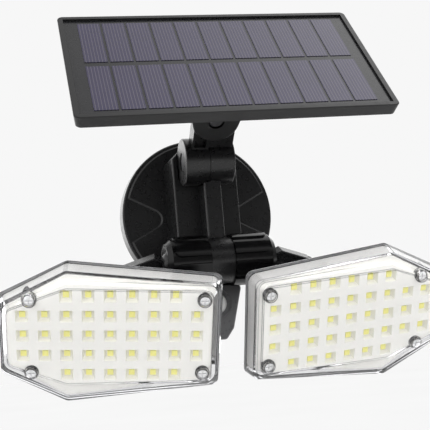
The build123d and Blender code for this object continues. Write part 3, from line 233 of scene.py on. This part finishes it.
def moulded(name, colour, rough, specular, spread=MOULDED_SPREAD):
    """Moulded plastic or rubber with a fine grain and uneven colour and gloss."""
    material, tree, shader = new_material(name)
    darker = tuple((1 - spread) * c for c in colour)
    lighter = tuple((1 + spread) * c for c in colour)
    tint = blend(tree, noise(tree, MOULDED_CLOUD), darker, lighter)
    tree.links.new(tint, shader.inputs["Base Color"])
    gloss = uneven(tree, MOULDED_GLOSS, rough - MOULDED_GLOSS_SPREAD, rough + MOULDED_GLOSS_SPREAD)
    tree.links.new(gloss, shader.inputs["Roughness"])
    shader.inputs["Specular IOR Level"].default_value = specular
    bump(tree, shader, noise(tree, GRAIN, GRAIN_DETAIL), GRAIN_DEPTH)
    return material


def clear_plastic(name, front):
    """Clear cover with painted shade: its walls greyer where they turn from the front, and a fine dark line
    painted on its edges.
    """
    material, tree, shader = new_material(name)
    normal = tree.nodes.new("ShaderNodeTexCoord").outputs["Normal"]
    turn = math_node(tree, "ABSOLUTE", dot(tree, normal, front))
    # Painted shade: the walls get a greyer colour than the pane, by how far they turn from the front
    tint = blend(tree, remap(tree, turn, COVER_TURN, 0.0, 1.0), WALL_PAINTED_SHADE, PANE_TINT)
    # Painted shade: a fine dark line where the rounded normal leans off the flat face, along the edges
    rounded = tree.nodes.new("ShaderNodeBevel")
    rounded.samples = EDGE_SAMPLES
    rounded.inputs["Radius"].default_value = EDGE_LINE
    flat = tree.nodes.new("ShaderNodeNewGeometry").outputs["True Normal"]
    lean = math_node(tree, "ABSOLUTE", dot(tree, rounded.outputs["Normal"], flat))
    edge = remap(tree, lean, EDGE_LEAN, 0.0, 1.0)
    tree.links.new(blend(tree, edge, tint, EDGE_PAINTED_SHADE), shader.inputs["Base Color"])
    shader.inputs["Transmission Weight"].default_value = 1.0
    shader.inputs["IOR"].default_value = COVER_IOR
    tree.links.new(uneven(tree, COVER_HAZE_SCALE, *COVER_HAZE), shader.inputs["Roughness"])
    return material


def metal(name, colour, rough, metallic=1.0):
    """Plated or blackened steel with fine scratches."""
    material, tree, shader = new_material(name)
    shader.inputs["Metallic"].default_value = metallic
    darker = tuple(METAL_DARKER * c for c in colour)
    tint = blend(tree, noise(tree, METAL_CLOUD), darker, colour)
    tree.links.new(tint, shader.inputs["Base Color"])
    gloss = uneven(tree, SCRATCH, rough - SCRATCH_SPREAD, rough + SCRATCH_SPREAD)
    tree.links.new(gloss, shader.inputs["Roughness"])
    return material


def solar_cell(name):
    """Silicon strips with fine lengthwise lines under glossy resin."""
    material, tree, shader = new_material(name)
    low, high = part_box("solar_cells")
    across = along(tree, (Vector(low) + Vector(high)) / 2, CELL_ACROSS)
    phase = math_node(tree, "MULTIPLY", across, 2 * math.pi * CELL_LINES / CELL_PITCH)
    line = remap(tree, math_node(tree, "COSINE", phase), CELL_LINE_SPAN, 0.0, 1.0)
    silicon = blend(tree, noise(tree, CELL_CLOUD), CELL_DARKER, CELL_LIGHTER)
    tree.links.new(blend(tree, line, silicon, CELL_LINE), shader.inputs["Base Color"])
    tree.links.new(uneven(tree, CELL_GLOSS_SCALE, *CELL_GLOSS), shader.inputs["Roughness"])
    return material


def led_package(name):
    """Yellow phosphor, a little uneven from grain to grain."""
    material, tree, shader = new_material(name)
    grain = uneven(tree, LED_GRAIN, 0.0, 1.0)
    tree.links.new(blend(tree, grain, LED_DARKER, LED_LIGHTER), shader.inputs["Base Color"])
    tree.links.new(uneven(tree, LED_GLOSS_SCALE, *LED_GLOSS), shader.inputs["Roughness"])
    return material


def make_materials():
    """One material for each look but the clear covers': colour, roughness, and gloss or metal share."""
    return {
        "housing_plastic": moulded("housing_plastic", (0.006, 0.006, 0.0064), 0.3, 0.5),
        "panel_plastic": moulded("panel_plastic", (0.006, 0.006, 0.0064), 0.36, 0.5),
        "shell_plastic": moulded("shell_plastic", (0.006, 0.006, 0.0065), 0.26, 0.5),
        "sensor_plastic": moulded("sensor_plastic", (0.15, 0.15, 0.154), 0.3, 0.5),
        "collar_plastic": moulded("collar_plastic", (0.002, 0.002, 0.0022), 0.2, 0.35),
        "cup_plastic": moulded("cup_plastic", (0.02, 0.02, 0.021), 0.5, 0.3),
        "plate_plastic": moulded("plate_plastic", (0.016, 0.016, 0.017), 0.5, 0.3),
        "button_rubber": moulded("button_rubber", (0.025, 0.025, 0.026), 0.6, 0.3),
        "seal_rubber": moulded("seal_rubber", (0.38, 0.38, 0.385), 0.55, 0.3),
        "reflector_white": moulded("reflector_white", (0.975, 0.965, 0.925), 0.45, 0.3, 0.02),
        "board_white": moulded("board_white", (0.965, 0.95, 0.905), 0.45, 0.4, 0.03),
        "board_green": moulded("board_green", (0.02, 0.13, 0.05), 0.4, 0.5),
        "led_phosphor": led_package("led_phosphor"),
        "dome_white": moulded("dome_white", (0.7, 0.7, 0.69), 0.45, 0.4),
        "bolt_steel": metal("bolt_steel", (0.10, 0.10, 0.105), 0.4),
        "screw_steel": metal("screw_steel", (0.88, 0.88, 0.89), 0.3, 0.35),
        "can_steel": metal("can_steel", (0.65, 0.65, 0.65), 0.3),
        "laminate_dark": moulded("laminate_dark", (0.007, 0.007, 0.008), 0.24, 0.5),
        "cell_silicon": solar_cell("cell_silicon"),
        "battery_sleeve": moulded("battery_sleeve", (0.03, 0.16, 0.25), 0.3, 0.5),
        "switch_black": moulded("switch_black", (0.02, 0.02, 0.02), 0.45, 0.4),
    }


def pane_direction(piece):
    """Direction that a cover's pane faces."""
    normal = max(piece.data.polygons, key=lambda face: face.area).normal
    return normal.copy() if normal.y < 0 else -normal


def dress(materials):
    """Gives each CAD node the look of its slot or its own, and each clear cover its own material."""
    for subpart in record["subparts"]:
        name = subpart["node"]
        piece = nodes[name]
        look = OWN_LOOK.get(name, subpart["material_slot"])
        if look == "clear_cover":
            material = clear_plastic(name, pane_direction(piece))
        else:
            material = materials[look]
        for slot in piece.material_slots:
            slot.material = material


# Stage


def make_floor():
    """Plain pale floor under the light."""
    bpy.ops.mesh.primitive_circle_add(vertices=FLOOR_SIDES, radius=FLOOR_RADIUS, fill_type="NGON")
    floor = bpy.context.object
    floor.name = "floor"
    floor.location.z = cad_box[0][2] - FLOOR_DROP
    material, tree, shader = new_material("floor")
    tone = uneven(tree, FLOOR_CLOUD, FLOOR_TONE - FLOOR_SPREAD, FLOOR_TONE + FLOOR_SPREAD)
    tree.links.new(tone, shader.inputs["Base Color"])
    shader.inputs["Roughness"].default_value = FLOOR_ROUGHNESS
    shader.inputs["Specular IOR Level"].default_value = 0.0
    floor.data.materials.append(material)


def backdrop(tree, tone):
    """One plain or shaded sky."""
    node = tree.nodes.new("ShaderNodeBackground")
    if isinstance(tone, bpy.types.NodeSocket):
        tree.links.new(tone, node.inputs["Color"])
    else:
        node.inputs["Color"].default_value = (tone, tone, tone, 1.0)
    return node.outputs[0]


def pick(tree, factor, first, second):
    """The first shader, or the second where the factor is one."""
    node = tree.nodes.new("ShaderNodeMixShader")
    tree.links.new(factor, node.inputs[0])
    tree.links.new(first, node.inputs[1])
    tree.links.new(second, node.inputs[2])
    return node.outputs[0]


def make_sky():
    """Soft white light from all round; gloss mirrors a dim front and a bright rear, left side and ceiling."""
    world = bpy.data.worlds.new("studio")
    bpy.context.scene.world = world
    world.use_nodes = True
    world.cycles.sampling_method = "NONE"
    tree = world.node_tree
    split = tree.nodes.new("ShaderNodeSeparateXYZ")
    tree.links.new(tree.nodes.new("ShaderNodeTexCoord").outputs["Generated"], split.inputs[0])
    x, y, z = split.outputs
    rear = remap(tree, y, REAR_SPAN, FRONT_GLOW, REAR_GLOW)
    left = remap(tree, x, SIDE_SPAN, FRONT_GLOW, SIDE_GLOW)
    high = remap(tree, z, CEILING_SPAN, 0.0, 1.0)
    ceiling = math_node(tree, "MULTIPLY", high, remap(tree, x, CEILING_ACROSS, *CEILING_GLOW))
    room = math_node(tree, "MAXIMUM", math_node(tree, "MAXIMUM", rear, left), ceiling)
    ray = tree.nodes.new("ShaderNodeLightPath").outputs
    turned_back = math_node(tree, "SUBTRACT", ray["Is Glossy Ray"], ray["Is Transmission Ray"])
    mirrored = math_node(tree, "GREATER_THAN", turned_back, 0.5)
    sky = pick(tree, mirrored, backdrop(tree, SKY_LIGHT), backdrop(tree, room))
    sky = pick(tree, ray["Is Camera Ray"], sky, backdrop(tree, BACKDROP_TONE))
    tree.links.new(sky, tree.nodes["World Output"].inputs["Surface"])


def make_camera():
    """Camera at the photograph's viewing angle."""
    data = bpy.data.cameras.new("camera")
    data.sensor_width = SENSOR_MM
    data.lens = LENS_MM
    data.clip_end = CLIP_END
    camera = bpy.data.objects.new("camera", data)
    bpy.context.collection.objects.link(camera)
    back = CAMERA_RIGHT.cross(CAMERA_UP)
    turn = Matrix((CAMERA_RIGHT, CAMERA_UP, back)).transposed()
    camera.matrix_world = Matrix.Translation(CAMERA_AT) @ turn.to_4x4()
    bpy.context.scene.camera = camera


dress(make_materials())
make_floor()
make_sky()
make_camera()
bpy.context.scene.view_settings.view_transform = "Standard"
